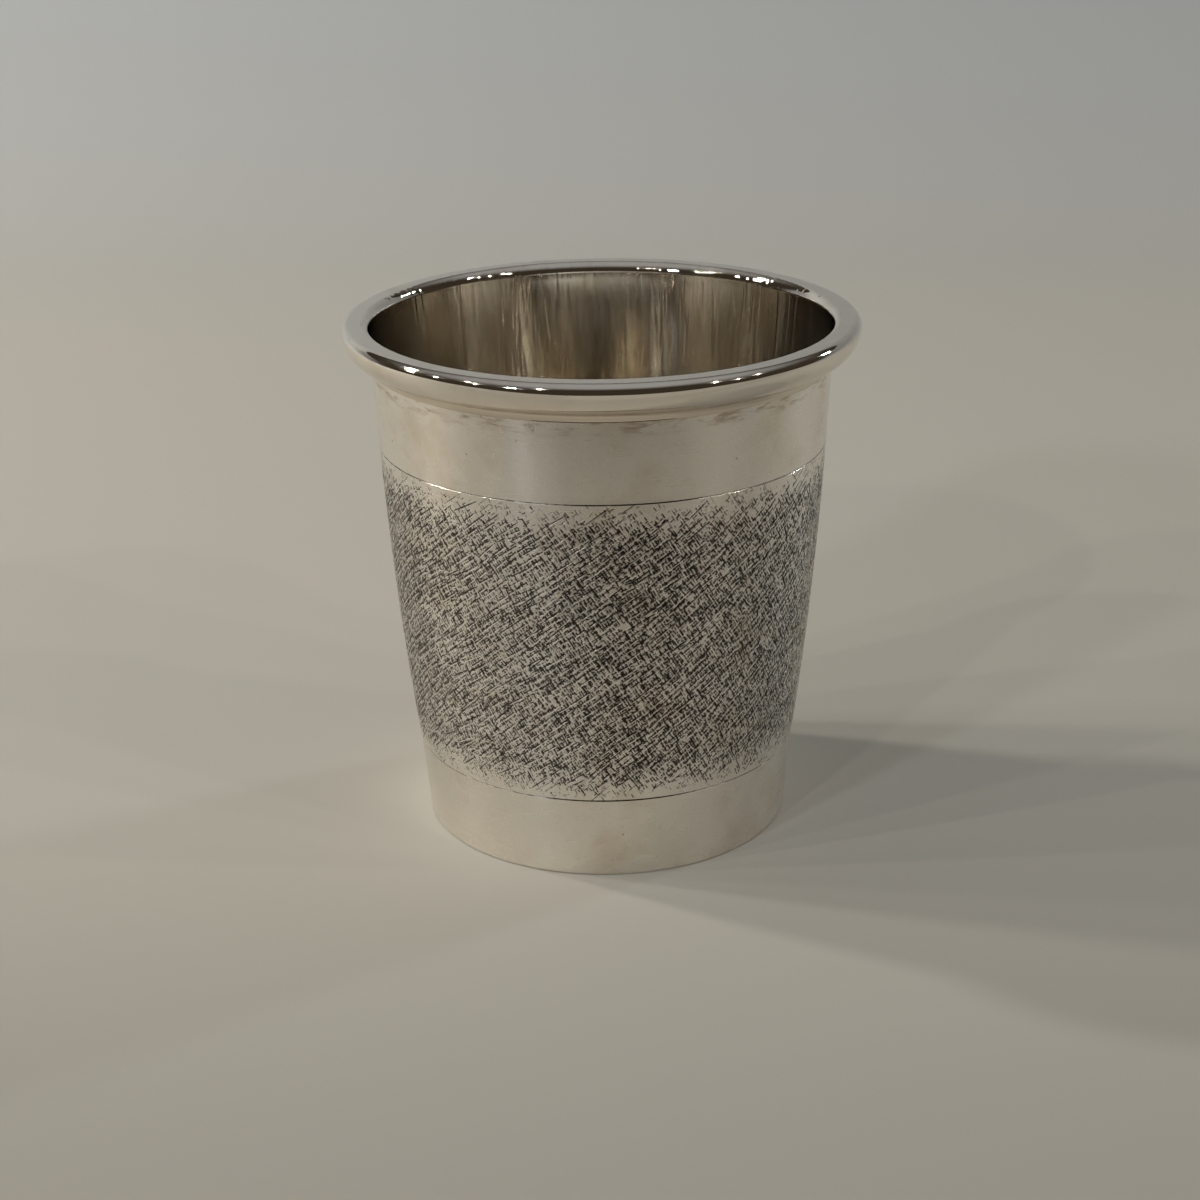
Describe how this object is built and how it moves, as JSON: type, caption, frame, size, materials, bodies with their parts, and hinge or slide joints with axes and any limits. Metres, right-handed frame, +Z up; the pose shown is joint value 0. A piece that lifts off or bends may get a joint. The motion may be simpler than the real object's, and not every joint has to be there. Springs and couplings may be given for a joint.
{
  "type": "silver beaker",
  "caption": "Tapered metal drinking beaker with a cross-hatched band between plain bands, an applied rim moulding and a let-in flat base.",
  "frame": {"origin": "middle of the foot edge, on the surface that the beaker stands on", "axes": "+Z up along the beaker's axis; X and Y lie in the table and are alike, because the beaker is turned"},
  "size_m": [0.0734, 0.0734, 0.075],
  "materials": {
    "engraved_silver": "polished silver, with an oxidised cross-hatched band",
    "base_silver": "polished silver with fine use scratches",
    "polished_silver": "bright polished silver"
  },
  "bodies": {
    "root": {"beaker_wall": "engraved_silver", "base_disc": "base_silver", "rim_moulding": "polished_silver"}
  },
  "joints": []
}
